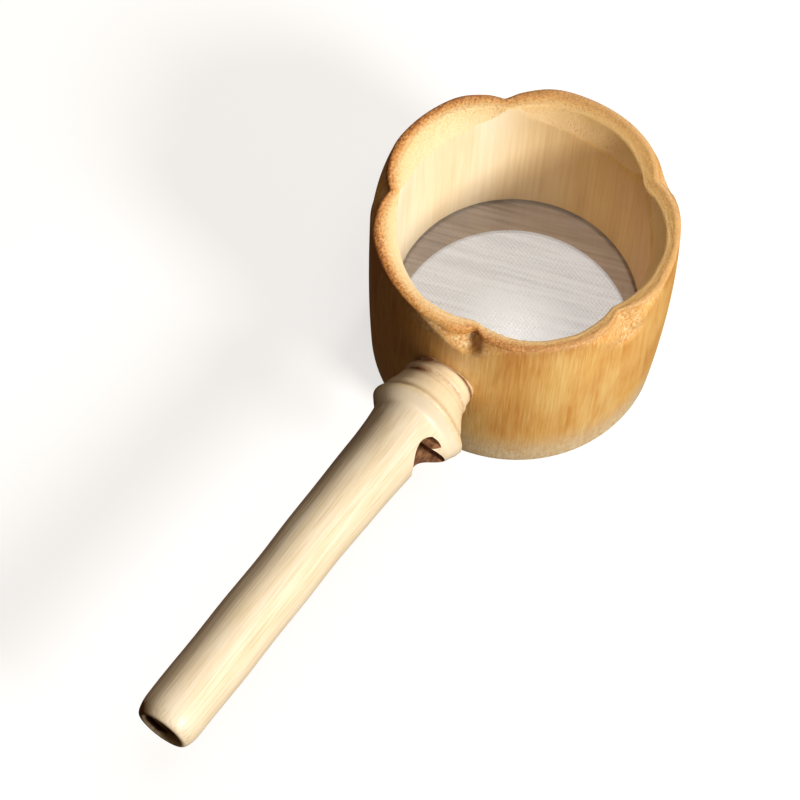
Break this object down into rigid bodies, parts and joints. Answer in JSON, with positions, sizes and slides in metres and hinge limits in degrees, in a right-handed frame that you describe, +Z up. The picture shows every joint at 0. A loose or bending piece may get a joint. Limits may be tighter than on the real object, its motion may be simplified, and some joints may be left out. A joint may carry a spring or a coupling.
{
  "type": "tea strainer",
  "caption": "Bamboo tea strainer: a round cup with a petal-carved rim, a woven mesh held above its open base, and a hollow branch handle with a node and a hang hole.",
  "frame": {"origin": "under the middle of the object's bounding box, on the surface that it stands on", "axes": "+X from the cup's axis along the handle, +Z up, out of the cup's mouth"},
  "size_m": [0.1506, 0.06, 0.048],
  "materials": {
    "cup": "bamboo culm, amber skin, oiled satin",
    "strainer_mesh": "fine woven stainless wire",
    "retaining_ring": "cut bamboo, matt",
    "handle": "peeled bamboo branch, satin"
  },
  "bodies": {
    "root": {"cup": "cup", "strainer_mesh": "strainer_mesh", "retaining_ring": "retaining_ring", "handle": "handle"}
  },
  "joints": []
}
